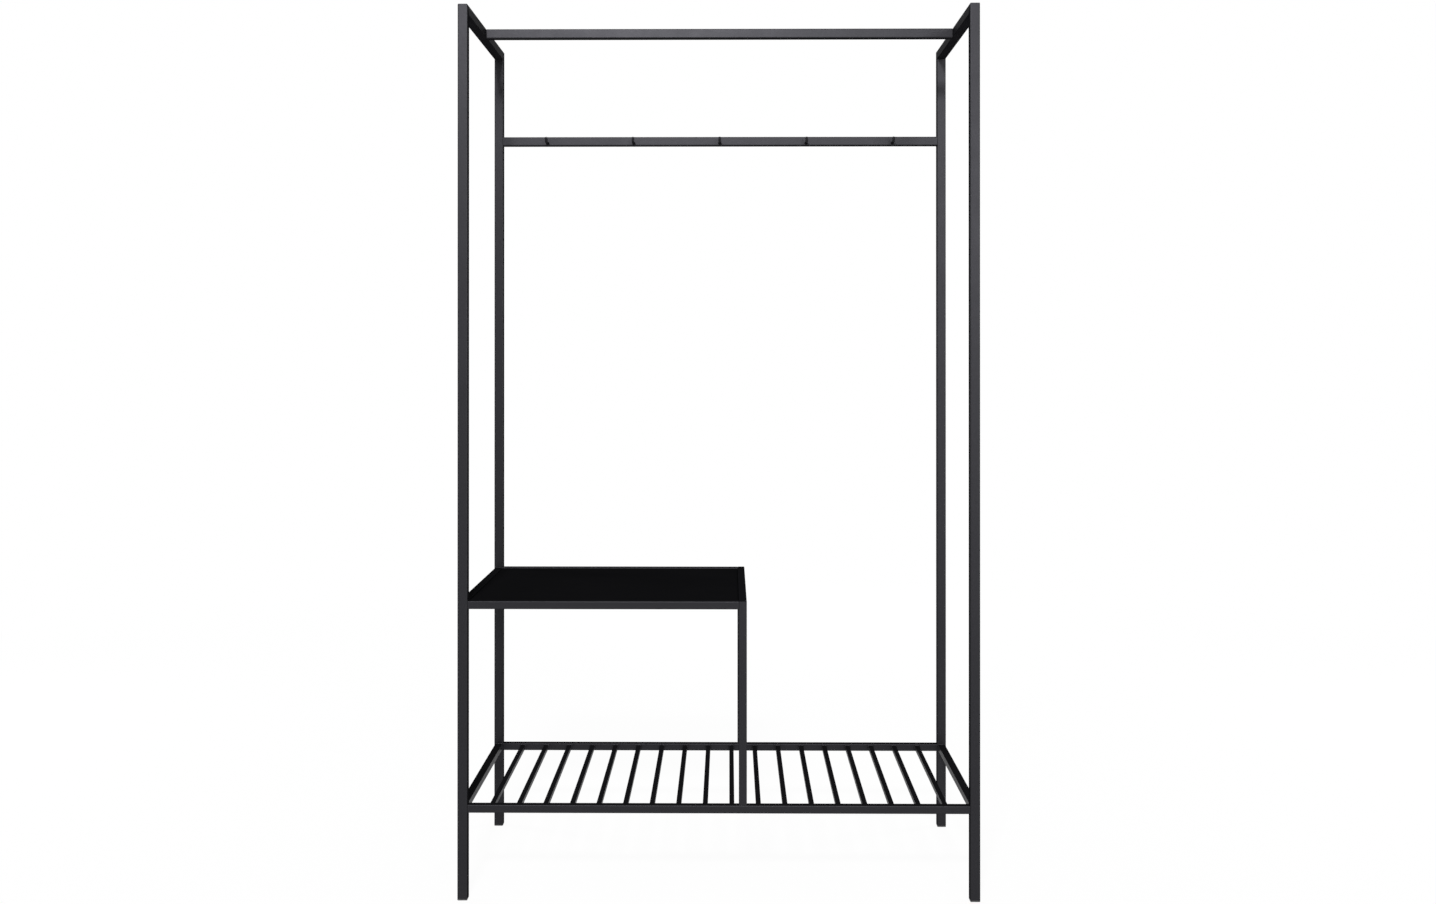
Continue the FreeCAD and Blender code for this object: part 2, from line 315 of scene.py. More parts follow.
def turned_steel(name, colour, roughness, spacing):
    """Steel with the fine marks of cutting, lightly blotched by its finish."""
    material, graph, place = new_material(name)
    marks = graph.noise(place, spacing, detail=1.0)
    blotch = graph.noise(place, spacing=4.0 * mm, detail=3.0, roughness=0.6)
    tone = graph.rise(blotch, start=0.3, end=0.7)
    values = {
        "Base Color": varied(graph, tone, colour, darkest=0.7, lightest=1.3),
        "Roughness": roughness + swing(blotch, amount=0.2),
        "Metallic": 1.0,
        "Normal": bumped(graph, marks, depth=0.03 * mm),
    }
    show_shader(graph, graph.add("ShaderNodeBsdfPrincipled", {}, values))
    return material


def new_shape_tree(name, inputs):
    """Geometry tree with named inputs: its graph, and the inputs by name."""
    tree = bpy.data.node_groups.new(name, "GeometryNodeTree")
    for label, kind in inputs.items():
        tree.interface.new_socket(name=label, in_out="INPUT", socket_type=f"NodeSocket{kind}")
    tree.interface.new_socket(name="Geometry", in_out="OUTPUT", socket_type="NodeSocketGeometry")
    graph = Graph(tree)
    source = tree.nodes.new("NodeGroupInput")
    return graph, {label: Socket(graph, graph.pick(source.outputs, label)) for label in inputs}


def end_shape_tree(graph, geometry, coat):
    """End a geometry tree with real geometry that carries its material."""
    whole = graph.add("GeometryNodeRealizeInstances", {}, {"Geometry": geometry})
    painted = graph.add("GeometryNodeSetMaterial", {}, {"Geometry": whole, "Material": coat})
    graph.add("NodeGroupOutput", {}, {"Geometry": painted})
    return graph.tree


def square_path(graph, size, corner, steps):
    """Closed square with round corners, in the XY plane round the origin."""
    square = graph.add("GeometryNodeCurvePrimitiveQuadrilateral", {}, {"Width": size, "Height": size})
    values = {"Curve": square, "Count": steps, "Radius": corner, "Limit Radius": True}
    return graph.add("GeometryNodeFilletCurve", {"mode": "POLY"}, values)


def on_points(graph, points, instance, rotation=None):
    """An instance on each point, turned if a rotation is given."""
    values = {"Points": points, "Instance": instance}
    if rotation is not None:
        values["Rotation"] = rotation
    return graph.add("GeometryNodeInstanceOnPoints", {}, values)


def tipped(graph, geometry, turn):
    """Geometry turned round the X axis."""
    values = {"Geometry": geometry, "Rotation": (turn, 0.0, 0.0)}
    return graph.add("GeometryNodeTransform", {}, values)


def swept(graph, path, sides, radius, capped=False):
    """Round section that follows a path, with a radius that may vary along it."""
    section = graph.add("GeometryNodeCurvePrimitiveCircle", {}, {"Resolution": sides, "Radius": 1.0})
    values = {"Curve": path, "Profile Curve": section, "Scale": radius, "Fill Caps": capped}
    return graph.add("GeometryNodeCurveToMesh", {}, values)


def row_of_points(graph, values):
    """Points at the row's pitch from its start, along X."""
    step = graph.vector(x=values["Pitch"])
    sockets = {"Count": values["Count"], "Start Location": values["Start"], "Offset": step}
    return graph.add("GeometryNodeMeshLine", {"mode": "OFFSET"}, sockets)


def slat_tree():
    """Row of square tubes along Y, each with round corners and an open bore."""
    inputs = {"Size": "Float", "Wall": "Float", "Corner": "Float", "Corner Steps": "Int", "Length": "Float"}
    inputs.update({"Start": "Vector", "Pitch": "Float", "Count": "Int", "Coat": "Material"})
    graph, values = new_shape_tree("Slat Row", inputs)
    steps = values["Corner Steps"]
    sharpest_corner = 0.2 * mm
    outer = square_path(graph, values["Size"], values["Corner"], steps)
    bore_corner = (values["Corner"] - values["Wall"]).most(sharpest_corner)
    bore = square_path(graph, values["Size"] - values["Wall"] * 2.0, bore_corner, steps)
    outlines = graph.add("GeometryNodeJoinGeometry", {}, {"Geometry": [outer, bore]})
    ring = graph.add("GeometryNodeFillCurve", {"mode": "TRIANGLES"}, {"Curve": outlines})
    sockets = {"Mesh": ring, "Offset Scale": values["Length"], "Individual": False}
    walls = graph.add("GeometryNodeExtrudeMesh", {"mode": "FACES"}, sockets)
    base = graph.add("GeometryNodeFlipFaces", {}, {"Mesh": ring})
    both = graph.add("GeometryNodeJoinGeometry", {}, {"Geometry": [walls, base]})
    tube = graph.add("GeometryNodeMergeByDistance", {}, {"Geometry": both, "Distance": touching})
    lying = tipped(graph, tube, -quarter_turn)
    row = on_points(graph, row_of_points(graph, values), lying)
    return end_shape_tree(graph, row, values["Coat"])


def weld_tree():
    """Uneven weld beads round the ends of square tubes along Y, one at each joint given."""
    inputs = {"Joints": "Geometry", "Size": "Float", "Corner": "Float", "Bead": "Float", "Ripple": "Float"}
    inputs.update({"Unevenness": "Float", "Seed": "Float", "Coat": "Material"})
    graph, values = new_shape_tree("Weld Beads", inputs)
    outline = square_path(graph, values["Size"], values["Corner"], steps=4)
    upright = tipped(graph, outline, quarter_turn)
    joints = graph.add("GeometryNodeMeshToPoints", {}, {"Mesh": values["Joints"]})
    loops = on_points(graph, joints, upright)
    paths = graph.add("GeometryNodeRealizeInstances", {}, {"Geometry": loops})
    spaced = {"Curve": paths, "Length": values["Ripple"] / 2.0}
    fine = graph.add("GeometryNodeResampleCurve", {"mode": "LENGTH"}, spaced)
    field = {
        "Vector": graph.add("GeometryNodeInputPosition"),
        "W": values["Seed"],
        "Scale": 1.0 / values["Ripple"],
    }
    wobble = graph.add("ShaderNodeTexNoise", {"noise_dimensions": "4D"}, field)
    radius = values["Bead"] * (1.0 + swing(wobble, values["Unevenness"]))
    bead = swept(graph, fine, sides=8, radius=radius)
    return end_shape_tree(graph, bead, values["Coat"])


def hook_tree():
    """Row of hooks of round rod: a flare at the weld, one bend upwards and a rounded tip."""
    inputs = {"Rod": "Float", "Reach": "Float", "Rise": "Float", "Bend": "Float", "Tip Rounding": "Float"}
    inputs.update({"Weld Flare": "Float", "Sides": "Int", "Start": "Vector", "Pitch": "Float"})
    inputs.update({"Count": "Int", "Coat": "Material"})
    graph, values = new_shape_tree("Hook Row", inputs)
    # Point 0 is the root at the rail, point 1 the corner in front of it and point 2 the tip above that
    number = graph.add("GeometryNodeInputIndex")
    out = number.least(1.0) * values["Reach"] * -1.0
    up = (number - 1.0).most(0.0) * values["Rise"]
    three = graph.add("GeometryNodeMeshLine", {"mode": "OFFSET"}, {"Count": 3})
    bent = {"Geometry": three, "Position": graph.vector(y=out, z=up)}
    corner = graph.add("GeometryNodeSetPosition", {}, bent)
    line = graph.add("GeometryNodeMeshToCurve", {}, {"Mesh": corner})
    rounded = {"Curve": line, "Count": 12, "Radius": values["Bend"], "Limit Radius": True}
    path = graph.add("GeometryNodeFilletCurve", {"mode": "POLY"}, rounded)
    fine = graph.add("GeometryNodeResampleCurve", {"mode": "LENGTH"}, {"Curve": path, "Length": rod_step})
    along = graph.add("GeometryNodeSplineParameter", {}, {}, "Length")
    left = graph.add("GeometryNodeSplineLength") - along
    near_tip = (1.0 - left / values["Tip Rounding"]).most(0.0)
    rounding = values["Tip Rounding"] * (1.0 - (1.0 - near_tip * near_tip) ** 0.5)
    flare_length = values["Weld Flare"] * 2.0
    near_root = (1.0 - along / flare_length).most(0.0)
    radius = values["Rod"] / 2.0 - rounding + values["Weld Flare"] * near_root * near_root
    hook = swept(graph, fine, values["Sides"], radius, capped=True)
    row = on_points(graph, row_of_points(graph, values), hook)
    return end_shape_tree(graph, row, values["Coat"])


def seated_tree():
    """Copies of a shape at the seats given, with its +Z turned to each seat's direction."""
    inputs = {"Seats": "Geometry", "Shape": "Object", "Coat": "Material"}
    graph, values = new_shape_tree("Seated Copies", inputs)
    shape = graph.add("GeometryNodeObjectInfo", {}, {"Object": values["Shape"]}, "Geometry")
    kind = {"data_type": "FLOAT_VECTOR"}
    heading = graph.add("GeometryNodeInputNamedAttribute", kind, {"Name": heading_name})
    turn = graph.add("FunctionNodeAlignRotationToVector", {"axis": "Z"}, {"Vector": heading})
    seats = graph.add("GeometryNodeMeshToPoints", {}, {"Mesh": values["Seats"]})
    return end_shape_tree(graph, on_points(graph, seats, shape, turn), values["Coat"])


def applied(piece, modifier):
    """Piece with what its modifier makes as its own plain mesh, and with the modifier gone."""
    bpy.context.view_layer.update()
    shown = piece.evaluated_get(bpy.context.evaluated_depsgraph_get())
    mesh = bpy.data.meshes.new_from_object(shown)
    piece.modifiers.remove(modifier)
    plain = piece.data
    piece.data = mesh
    bpy.data.meshes.remove(plain)
    return piece


def grown(name, tree, values, points=(), headings=()):
    """Plain mesh object from a geometry tree that runs on these points."""
    start = bpy.data.meshes.new(f"{name}_start")
    start.from_pydata([tuple(point) for point in points], [], [])
    if headings:
        layer = start.attributes.new(heading_name, "FLOAT_VECTOR", "POINT")
        layer.data.foreach_set("vector", [part for heading in headings for part in heading])
    piece = bpy.data.objects.new(name, start)
    bpy.context.scene.collection.objects.link(piece)
    modifier = piece.modifiers.new("Shape", "NODES")
    modifier.node_group = tree
    sockets = [item for item in tree.interface.items_tree if item.in_out == "INPUT"]
    for socket in sockets:
        if socket.name in values:
            modifier[socket.identifier] = values[socket.name]
    applied(piece, modifier).data.name = name
    return piece


def smoothed(piece, angle=35.0):
    """Smooth shading with hard edges over an angle, and with the large faces kept flat."""
    piece.data.shade_smooth()
    piece.data.set_sharp_from_angle(angle=math.radians(angle))
    modifier = piece.modifiers.new("Even Normals", "WEIGHTED_NORMAL")
    modifier.keep_sharp = True
    return applied(piece, modifier)


def lofted(name, rings):
    """Closed mesh through rings of equally many points, from the first ring's middle to the last one's."""
    mesh = bpy.data.meshes.new(name)
    shape = bmesh.new()
    loops = [[shape.verts.new(point) for point in ring] for ring in rings]
    count = len(loops[0])
    for lower, upper in zip(loops, loops[1:]):
        for place in range(count):
            beside = (place + 1) % count
            shape.faces.new((lower[place], lower[beside], upper[beside], upper[place]))
    shape.faces.new(list(reversed(loops[0])))
    shape.faces.new(loops[-1])
    bmesh.ops.recalc_face_normals(shape, faces=shape.faces)
    shape.to_mesh(mesh)
    shape.free()
    return bpy.data.objects.new(name, mesh)


def round_ring(radius, height, sides):
    """Circle of points at one height."""
    turns = [2 * math.pi * number / sides for number in range(sides)]
    return [Vector((radius * math.cos(turn), radius * math.sin(turn), height)) for turn in turns]


def hexagon_ring(across_flats, height, sides):
    """Hexagon with as many points as a round ring, spread over its flats."""
    points = []
    for point in round_ring(1.0, height, sides):
        turn = math.atan2(point.y, point.x) % sixth_turn - sixth_turn / 2
        points.append(Vector((point.x, point.y, 0)) * (across_flats / 2 / math.cos(turn)))
        points[-1].z = height
    return points


def square_ring(size, corner, height, steps):
    """Square with round corners at one height."""
    points = []
    inner = size / 2 - corner
    for number in range(4):
        quarter = Matrix.Rotation(quarter_turn * number, 3, "Z")
        for step in range(steps + 1):
            turn = quarter_turn * step / steps
            point = Vector((inner + corner * math.cos(turn), inner + corner * math.sin(turn), height))
            points.append(quarter @ point)
    return points


def settle(piece, slot, *nodes):
    """Let a finished piece ride on the rack and stand for nodes, which it hides. The slot is not used."""
    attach(piece, body)
    if nodes:
        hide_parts(*nodes)


def paint(names, material):
    """Give nodes of the frame one material."""
    for name in names:
        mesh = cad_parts[name].data
        mesh.materials.clear()
        mesh.materials.append(material)


def a_number(name, description, default, **limits):
    """Setting that is a plain number."""
    return FloatProperty(name=name, description=description, default=default, **limits)


def a_share(name, description, default):
    """Setting from 0 to 1."""
    return a_number(name, description, default, min=0.0, max=1.0, subtype="FACTOR")


def a_length(name, description, default):
    """Setting in metres."""
    return a_number(name, description, default, min=0.0, precision=5, unit="LENGTH")


def a_power(name, description, default):
    """Setting in watts."""
    return a_number(name, description, default, unit="POWER")


def a_count(name, description, default, least=1):
    """Setting that is a whole number."""
    return IntProperty(name=name, description=description, default=default, min=least)


def a_colour(name, description, default):
    """Setting that is a colour."""
    limits = {"min": 0.0, "max": 1.0, "size": 3, "subtype": "COLOR"}
    return FloatVectorProperty(name=name, description=description, default=default, **limits)


class RackCoatSettings(bpy.types.PropertyGroup):
    """Colours and grain of the finishes"""

    tube_colour: a_colour("Tube Colour", "Colour of the powder coat on the tubes", (0.0075, 0.0074, 0.0084))
    tube_roughness: a_share("Tube Roughness", "Roughness of the powder coat on the tubes", 0.42)
    tube_gloss: a_share("Tube Gloss", "Specular level of the powder coat on the tubes", 0.24)
    hook_gloss: a_share("Hook Gloss", "Specular level of the powder coat on the hooks", 0.12)
    shelf_sheen: a_share("Shelf Sheen", "Shine that the lower shelf's sides keep at a low angle", 0.6)
    top_sheen: a_share("Top Sheen", "Shine that the top rails' sides keep at a low angle", 0.12)
    plate_colour: a_colour("Plate Colour", "Colour of the coat on the shelf plate", (0.0054, 0.0054, 0.006))
    plate_roughness: a_share("Plate Roughness", "Roughness of the coat on the shelf plate", 0.36)
    grain: a_length("Grain", "Spacing of the powder's fine grain", 1.1 * mm)
    wave: a_length("Wave", "Spacing of the slow waves in the coat", 7.0 * mm)
    grain_depth: a_length("Grain Depth", "Height of the coat's grain and waves", 0.11 * mm)
    plastic_colour: a_colour("Plastic Colour", "Colour of the foot plugs", (0.05, 0.05, 0.051))
    bolt_colour: a_colour("Bolt Colour", "Colour of the blackened bolts", (0.05, 0.05, 0.052))
    plug_colour: a_colour("Plug Colour", "Colour of the bare steel plugs", (0.45, 0.45, 0.46))


class RackSlatSettings(bpy.types.PropertyGroup):
    """Tubes of the slatted shelf"""

    size: a_length("Size", "Side of a slat's square tube", slat_high.x - slat_low.x)
    wall: a_length("Wall", "Thickness of a slat's wall", 1.0 * mm)
    corner: a_length("Corner", "Outer corner radius of a slat", 0.9 * mm)
    corner_steps: a_count("Corner Steps", "Faces round each corner", 5)
    length: a_length("Length", "Length of a slat", slat_high.y - slat_low.y)
    pitch: a_length("Pitch", "Distance from one slat to the next", slat_pitch)
    count: a_count("Count", "Number of slats", len(slat_nodes))


class RackWeldSettings(bpy.types.PropertyGroup):
    """Weld beads under the coat"""

    slat_bead: a_length("Slat Bead", "Radius of the beads at the slats", 1.8 * mm)
    rail_bead: a_length("Rail Bead", "Radius of the beads at the side rails", 1.6 * mm)
    rail_corner: a_length("Rail Corner", "Corner radius of the shelf tube", 1.7 * mm)
    ripple: a_length("Ripple", "Spacing of the ripples in a bead", 1.6 * mm)
    unevenness: a_number("Unevenness", "Share by which a bead swells", 1.5, min=0.0)
    seed: a_number("Seed", "Choice of the beads' pattern", 3.0)


class RackHookSettings(bpy.types.PropertyGroup):
    """Coat hooks of round rod"""

    rod: a_length("Rod", "Diameter of the hooks' rod", 6.0 * mm)
    bend: a_length("Bend", "Radius of the bend on the rod's middle line", 8.0 * mm)
    tip_rounding: a_length("Tip Rounding", "Radius of the rounding at a hook's tip", 1.8 * mm)
    weld_flare: a_length("Weld Flare", "Height of the weld round a hook's root", 0.9 * mm)
    sides: a_count("Sides", "Faces round the rod", 24, least=6)
    count: a_count("Count", "Number of hooks", 5, least=2)


class RackBoltSettings(bpy.types.PropertyGroup):
    """Countersunk socket bolts"""

    head: a_length("Head", "Diameter of a bolt's head", 12.2 * mm)
    shank: a_length("Shank", "Diameter of a bolt's shank", 6.0 * mm)
    rim: a_length("Rim", "Height of the straight edge of the head", 0.3 * mm)
    proud: a_length("Proud", "How far a head stands out of the tube", 0.15 * mm)
    edge: a_length("Edge", "Size of the broken edges", 0.18 * mm)
    across_flats: a_length("Across Flats", "Size of the hexagon socket", 4.0 * mm)
    socket_depth: a_length("Socket Depth", "Depth of the hexagon socket", 2.2 * mm)
    frame_length: a_length("Frame Length", "Length of the bolts through the side frames", 30.0 * mm)
    divider_length: a_length("Divider Length", "Length of the bolts under the divider", 25.0 * mm)
    sides: a_count("Sides", "Points round a bolt, a multiple of six", 48, least=12)


class RackFootSettings(bpy.types.PropertyGroup):
    """Foot plugs"""

    size: a_length("Size", "Side of the flange under a post", foot_high.x - foot_low.x)
    height: a_length("Height", "Height of a foot with its stem", foot_high.z - foot_low.z)
    flange: a_length("Flange", "Height of the flange", 3.0 * mm)
    corner: a_length("Corner", "Corner radius of the flange", 2.0 * mm)
    edge: a_length("Edge", "Rounding of the flange's lower edge", 1.0 * mm)
    seam: a_length("Seam", "Rounding of the flange's upper edge, under the tube", 0.25 * mm)
    stem: a_length("Stem", "Side of the stem inside the post", 16.0 * mm)
    steps: a_count("Steps", "Faces round each corner", 6)


class RackStageSettings(bpy.types.PropertyGroup):
    """Studio round the rack"""

    floor_colour: a_colour("Floor Colour", "Colour of the studio floor", (0.94, 0.94, 0.94))
    floor_glow: a_share("Floor Glow", "Share of plain white in the floor near the rack", 0.95)
    fill: a_share("Fill", "Grey of the light from all round", 0.14)
    key_power: a_power("Key Power", "High front light", 240.0)
    right_power: a_power("Right Power", "Panel at the right", 56.0)
    low_power: a_power("Low Power", "Panel near the floor", 9.0)
    back_power: a_power("Back Power", "Panel behind the rack", 110.0)
    strip_power: a_power("Strip Power", "Each side light", 46.0)
    focal_length: a_number("Focal Length", "Camera lens, in millimetres", 34.03)
    horizon_shift: a_number("Horizon Shift", "Vertical shift of the lens", -0.071)


def coats(context):
    """Settings of the finishes."""
    return context.scene.rack_coats


def tube_material(context, name=plain_coat):
    """Powder coat of the tubes or hooks, made once by each name."""
    if name in bpy.data.materials:
        return bpy.data.materials[name]
    s = coats(context)
    gloss = s.hook_gloss if name == hook_coat else s.tube_gloss
    side_sheen = {shelf_coat: s.shelf_sheen, top_coat: s.top_sheen}.get(name, 0.0)
    return powder_coat(
        name, s.tube_colour, s.tube_roughness, s.grain, s.wave, s.grain_depth, gloss, side_sheen
    )


class RACK_OT_coat_tubes(bpy.types.Operator):
    """Give the tubes of the frame their powder coat"""

    bl_idname = "rack.coat_tubes"
    bl_label = "Coat Tubes"

    def execute(self, context):
        paint(tube_nodes, tube_material(context))
        paint(shelf_side_nodes, tube_material(context, shelf_coat))
        paint(top_rail_nodes, tube_material(context, top_coat))
        return {"FINISHED"}


class RACK_OT_coat_plate(bpy.types.Operator):
    """Give the folded plate of the raised shelf its smoother coat"""

    bl_idname = "rack.coat_plate"
    bl_label = "Coat Shelf Plate"

    def execute(self, context):
        s = coats(context)
        half_depth = s.grain_depth / 2
        smooth = powder_coat(
            "Smooth Black Coat", s.plate_colour, s.plate_roughness, s.grain, s.wave, half_depth, s.tube_gloss
        )
        paint([plate_node], smooth)
        return {"FINISHED"}


class RACK_OT_finish_plugs(bpy.types.Operator):
    """Give the threaded plugs inside the tubes their bare steel"""

    bl_idname = "rack.finish_plugs"
    bl_label = "Finish Plugs"

    def execute(self, context):
        colour = coats(context).plug_colour
        steel = turned_steel("Bare Steel", colour, roughness=0.38, spacing=0.4 * mm)
        paint(plug_nodes, steel)
        return {"FINISHED"}


class RACK_OT_make_slats(bpy.types.Operator):
    """Make the slats of the lower shelf, as round-cornered tubes in one row"""

    bl_idname = "rack.make_slats"
    bl_label = "Make Slats"

    def execute(self, context):
        s = context.scene.rack_slats
        centre = middle(slat_nodes[0])
        values = {
            "Size": s.size,
            "Wall": s.wall,
            "Corner": s.corner,
            "Corner Steps": s.corner_steps,
            "Length": s.length,
            "Start": (centre.x, slat_low.y, centre.z),
            "Pitch": s.pitch,
            "Count": s.count,
            "Coat": tube_material(context, shelf_coat),
        }
        piece = smoothed(grown("slat_row", slat_tree(), values))
        settle(piece, tube_slot, *slat_nodes)
        return {"FINISHED"}


class RACK_OT_make_welds(bpy.types.Operator):
    """Lay weld beads round the ends of the slats and of the side rails"""

    bl_idname = "rack.make_welds"
    bl_label = "Make Welds"

    def execute(self, context):
        s = context.scene.rack_welds
        tree = weld_tree()
        rows = (
            ("slat_weld_beads", slat_nodes, context.scene.rack_slats.corner, s.slat_bead),
            ("rail_weld_beads", side_rail_nodes, s.rail_corner, s.rail_bead),
        )
        for name, tubes, corner, bead in rows:
            joints = []
            for tube in tubes:
                low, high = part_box(tube)
                centre = middle(tube)
                joints.extend(Vector((centre.x, y, centre.z)) for y in (low.y, high.y))
            # All tubes of a row have the size of its last one
            values = {
                "Size": high.z - low.z,
                "Corner": corner,
                "Bead": bead,
                "Ripple": s.ripple,
                "Unevenness": s.unevenness,
                "Seed": s.seed,
                "Coat": tube_material(context),
            }
            piece = grown(name, tree, values, joints)
            piece.data.shade_smooth()
            settle(piece, tube_slot)
        return {"FINISHED"}


class RACK_OT_make_hooks(bpy.types.Operator):
    """Make the coat hooks of bent round rod on the hook rail"""

    bl_idname = "rack.make_hooks"
    bl_label = "Make Hooks"

    def execute(self, context):
        s = context.scene.rack_hooks
        radius = s.rod / 2
        line = hook_low.z + radius
        values = {
            "Rod": s.rod,
            "Reach": hook_face - hook_low.y - radius,
            "Rise": hook_high.z - line,
            "Bend": s.bend,
            "Tip Rounding": s.tip_rounding,
            "Weld Flare": s.weld_flare,
            "Sides": s.sides,
            "Start": (hook_low.x + radius, hook_face, line),
            "Pitch": (hook_high.x - hook_low.x - s.rod) / (s.count - 1),
            "Count": s.count,
            "Coat": tube_material(context, hook_coat),
        }
        piece = smoothed(grown("round_coat_hooks", hook_tree(), values), angle=50.0)
        settle(piece, tube_slot, hook_node)
        return {"FINISHED"}


def bolt_shape(settings, bolt_length):
    """Countersunk bolt with its head's top a little over the XY plane and its shank along -Z."""
    sides = settings.sides
    top = settings.proud
    edge = settings.edge
    flats = settings.across_flats
    head_radius = settings.head / 2
    shank_radius = settings.shank / 2
    cone = settings.rim + (settings.head - settings.shank) / 2
    floor = top - settings.socket_depth
    edge_middle = edge * 0.3
    point_height = settings.shank / 12
    point_radius = shank_radius * 0.83
    # From the socket's floor up to the head's top, over its edge and down to the point
    rings = [
        hexagon_ring(flats, floor, sides),
        hexagon_ring(flats, top - edge, sides),
        hexagon_ring(flats + edge, top, sides),
        round_ring(head_radius - edge, top, sides),
        round_ring(head_radius - edge_middle, top - edge_middle, sides),
        round_ring(head_radius, top - edge, sides),
        round_ring(head_radius, -settings.rim, sides),
        round_ring(shank_radius, -cone, sides),
        round_ring(shank_radius, point_height - bolt_length, sides),
        round_ring(point_radius, -bolt_length, sides),
    ]
    return lofted("bolt_shape", rings)


class RACK_OT_make_bolts(bpy.types.Operator):
    """Make the countersunk socket bolts in the side frames and under the divider"""

    bl_idname = "rack.make_bolts"
    bl_label = "Make Bolts"

    def execute(self, context):
        s = context.scene.rack_bolts
        colour = coats(context).bolt_colour
        steel = turned_steel("Blackened Steel", colour, roughness=0.42, spacing=0.25 * mm)
        low_rails = ("slatted_shelf_front_rail", "slatted_shelf_back_rail")
        right_rails = low_rails + ("hook_rail", "hanging_bar")
        left_rails = right_rails + ("raised_shelf_front_rail", "raised_shelf_back_rail")
        ends = (
            (-1, cad_box[0].x, left_rails),
            (1, cad_box[1].x, right_rails),
        )
        seats = []
        headings = []
        for side, face, rails in ends:
            for rail in rails:
                centre = middle(rail)
                seats.append(Vector((face, centre.y, centre.z)))
                headings.append(Vector((side, 0, 0)))
        under = []
        for rail, post in zip(low_rails, ("divider_front_post", "divider_back_post")):
            centre = middle(post)
            under.append(Vector((centre.x, centre.y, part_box(rail)[0].z)))
        down = [Vector((0, 0, -1))] * len(under)
        rows = (
            ("frame_socket_bolts", s.frame_length, seats, headings, ("post_bolts", "hanging_bar_bolts")),
            ("divider_socket_bolts", s.divider_length, under, down, ("divider_bolts",)),
        )
        for name, bolt_length, points, directions, nodes in rows:
            shape = bolt_shape(s, bolt_length)
            values = {"Shape": shape, "Coat": steel}
            piece = smoothed(grown(name, seated_tree(), values, points, directions), angle=30.0)
            bpy.data.objects.remove(shape)
            settle(piece, bolt_slot, *nodes)
        return {"FINISHED"}


def foot_shape(settings):
    """Foot plug on the XY plane: a flange with rounded edges and a tapered stem."""
    size = settings.size
    corner = settings.corner
    edge = settings.edge
    top = settings.flange
    seam = settings.seam
    stem = settings.stem
    edge_steps = 4
    sharpest_corner = 0.3 * mm
    # Outlines from the ground up, each with its side, corner radius and height
    outlines = []
    for step in range(edge_steps + 1):
        turn = quarter_turn * step / edge_steps
        inset = edge * (1 - math.sin(turn))
        height = edge * (1 - math.cos(turn))
        outlines.append((size - 2 * inset, max(corner - inset, sharpest_corner), height))
    outlines.extend((
        (size, corner, top - seam),
        (size - seam, corner, top),
        (stem, corner / 2, top),
        (stem, corner / 2, top + corner),
        (stem - seam * 2, corner / 2, settings.height),
    ))
    return lofted("foot_shape", [square_ring(*outline, settings.steps) for outline in outlines])


class RACK_OT_make_feet(bpy.types.Operator):
    """Make the moulded foot plugs in the posts"""

    bl_idname = "rack.make_feet"
    bl_label = "Make Feet"

    def execute(self, context):
        colour = coats(context).plastic_colour
        plastic = moulded_plastic("Black Moulded Plastic", colour, roughness=0.5)
        shape = foot_shape(context.scene.rack_feet)
        places = []
        for name in foot_nodes:
            centre = middle(name)
            places.append(Vector((centre.x, centre.y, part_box(name)[0].z)))
        up = [Vector((0, 0, 1))] * len(places)
        values = {"Shape": shape, "Coat": plastic}
        piece = smoothed(grown("moulded_feet", seated_tree(), values, places, up))
        bpy.data.objects.remove(shape)
        settle(piece, foot_slot, *foot_nodes)
        return {"FINISHED"}


def seen_by_eye(graph):
    """1 for rays of the camera, of mirror images and of what is seen through glass, and 0 for light."""
    kinds = ("Is Camera Ray", "Is Glossy Ray", "Is Transmission Ray")
    camera, glossy, through = [graph.add("ShaderNodeLightPath", {}, {}, kind) for kind in kinds]
    return (camera + glossy + through).least(1.0)


# Distance from the rack's middle, in shares of which the floor turns into plain white
floor_reach = 6.0

# Half the side of the square floor
floor_half = 40.0


def floor_material(colour, glow):
    """Pale floor that keeps the rack's shadow and runs out into plain white."""
    material, graph, place = new_material("Pale Floor")
    pale = graph.add("ShaderNodeBsdfDiffuse", {}, {"Color": rgba(colour)})
    white = graph.add("ShaderNodeEmission", {}, {"Color": plain_white, "Strength": 1.0})
    distance = graph.add("ShaderNodeVectorMath", {"operation": "LENGTH"}, {0: place}, "Value")
    share = graph.rise(distance / floor_reach, start=0.1, end=0.6, low=glow)
    show_shader(graph, graph.mixed(seen_by_eye(graph) * share, pale, white))
    return material


def set_world(fill):
    """Grey light from all round, seen as plain white."""
    world = bpy.data.worlds.new("Studio")
    world.use_nodes = True
    world.node_tree.nodes.clear()
    graph = Graph(world.node_tree)
    light = graph.add("ShaderNodeBackground", {}, {"Color": rgba((fill, fill, fill))})
    white = graph.add("ShaderNodeBackground", {}, {"Color": plain_white})
    graph.add("ShaderNodeOutputWorld", {}, {"Surface": graph.mixed(seen_by_eye(graph), light, white)})
    bpy.context.scene.world = world


# Place that every light is turned to
lit_place = Vector((0.0, 0.0, 1.1))

# Lights: name, place, width, height and the setting that holds the power
lights = (
    ("key", (-0.5, -4.5, 3.6), 0.7, 0.45, "key_power"),
    ("right_panel", (1.6, -4.5, 2.0), 0.8, 0.6, "right_power"),
    ("low_panel", (1.6, -4.5, 0.4), 0.8, 0.6, "low_power"),
    ("back_panel", (0.3, 4.5, 1.3), 1.5, 0.6, "back_power"),
    ("strip_left", (-3.2, 1.2, 1.3), 0.6, 2.2, "strip_power"),
    ("strip_right", (3.2, 1.2, 1.3), 0.6, 2.2, "strip_power"),
)

# The photo's camera: where it stands, its turn in degrees, and its sensor in millimetres
camera_place = (0.02085, -2.9456, 1.0997)
camera_turn = (90.098, 0.0, 0.457)
sensor_width = 36.0


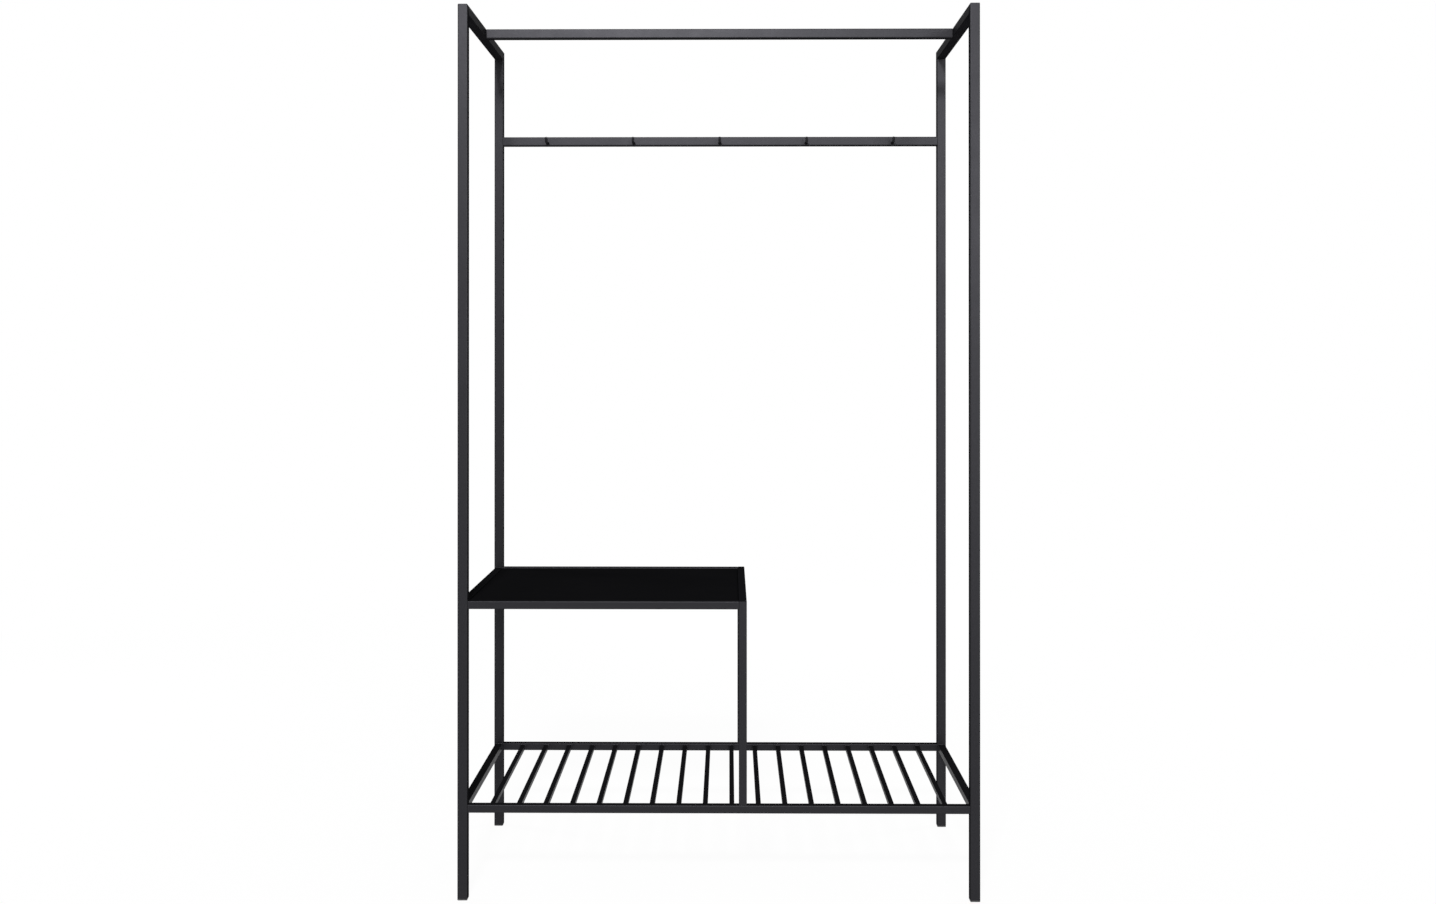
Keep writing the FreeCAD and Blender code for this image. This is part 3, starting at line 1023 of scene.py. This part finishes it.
def area_light(name, place, width, height, power):
    """Soft box that isn't seen by the camera itself."""
    data = bpy.data.lights.new(name, "AREA")
    data.shape = "RECTANGLE"
    data.size = width
    data.size_y = height
    data.energy = power
    light = bpy.data.objects.new(name, data)
    light.visible_camera = False
    light.location = place
    light.rotation_euler = (lit_place - Vector(place)).to_track_quat("-Z", "Y").to_euler()
    bpy.context.scene.collection.objects.link(light)


class RACK_OT_set_stage(bpy.types.Operator):
    """Set up the floor, the lights and the camera"""

    bl_idname = "rack.set_stage"
    bl_label = "Set Stage"

    def execute(self, context):
        s = context.scene.rack_stage
        mesh = bpy.data.meshes.new("studio_floor")
        signs = ((-1, -1), (1, -1), (1, 1), (-1, 1))
        corners = [(x * floor_half, y * floor_half, 0.0) for x, y in signs]
        mesh.from_pydata(corners, [], [(0, 1, 2, 3)])
        mesh.materials.append(floor_material(s.floor_colour, s.floor_glow))
        floor = bpy.data.objects.new("studio_floor", mesh)
        context.scene.collection.objects.link(floor)
        set_world(s.fill)
        for name, place, width, height, setting in lights:
            area_light(name, place, width, height, getattr(s, setting))
        data = bpy.data.cameras.new("photo_camera")
        data.sensor_width = sensor_width
        data.lens = s.focal_length
        data.shift_y = s.horizon_shift
        camera = bpy.data.objects.new("photo_camera", data)
        camera.location = camera_place
        camera.rotation_euler = [math.radians(turn) for turn in camera_turn]
        context.scene.collection.objects.link(camera)
        context.scene.camera = camera
        context.scene.view_settings.view_transform = "Standard"
        return {"FINISHED"}


operators = (
    RACK_OT_coat_tubes,
    RACK_OT_coat_plate,
    RACK_OT_finish_plugs,
    RACK_OT_make_slats,
    RACK_OT_make_welds,
    RACK_OT_make_hooks,
    RACK_OT_make_bolts,
    RACK_OT_make_feet,
    RACK_OT_set_stage,
)

settings_groups = {
    "rack_coats": RackCoatSettings,
    "rack_slats": RackSlatSettings,
    "rack_welds": RackWeldSettings,
    "rack_hooks": RackHookSettings,
    "rack_bolts": RackBoltSettings,
    "rack_feet": RackFootSettings,
    "rack_stage": RackStageSettings,
}


class RACK_PT_panel(bpy.types.Panel):
    """Steps that finish the clothes rack, with their sizes and colours"""

    bl_idname = "RACK_PT_panel"
    bl_label = "Clothes Rack"
    bl_space_type = "VIEW_3D"
    bl_region_type = "UI"
    bl_category = "Clothes Rack"

    def draw(self, context):
        for operator in operators:
            self.layout.operator(operator.bl_idname)
        for name, group in settings_groups.items():
            box = self.layout.box()
            settings = getattr(context.scene, name)
            for label in group.__annotations__:
                box.prop(settings, label)


def register():
    for kind in (*settings_groups.values(), *operators, RACK_PT_panel):
        bpy.utils.register_class(kind)
    for name, group in settings_groups.items():
        setattr(bpy.types.Scene, name, PointerProperty(type=group))


def unregister():
    for name in settings_groups:
        delattr(bpy.types.Scene, name)
    for kind in (RACK_PT_panel, *reversed(operators), *reversed(settings_groups.values())):
        bpy.utils.unregister_class(kind)


def main():
    """Register the add-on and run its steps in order."""
    register()
    bpy.ops.rack.coat_tubes()
    bpy.ops.rack.coat_plate()
    bpy.ops.rack.finish_plugs()
    bpy.ops.rack.make_slats()
    bpy.ops.rack.make_welds()
    bpy.ops.rack.make_hooks()
    bpy.ops.rack.make_bolts()
    bpy.ops.rack.make_feet()
    bpy.ops.rack.set_stage()


if __name__ == "__main__":
    main()
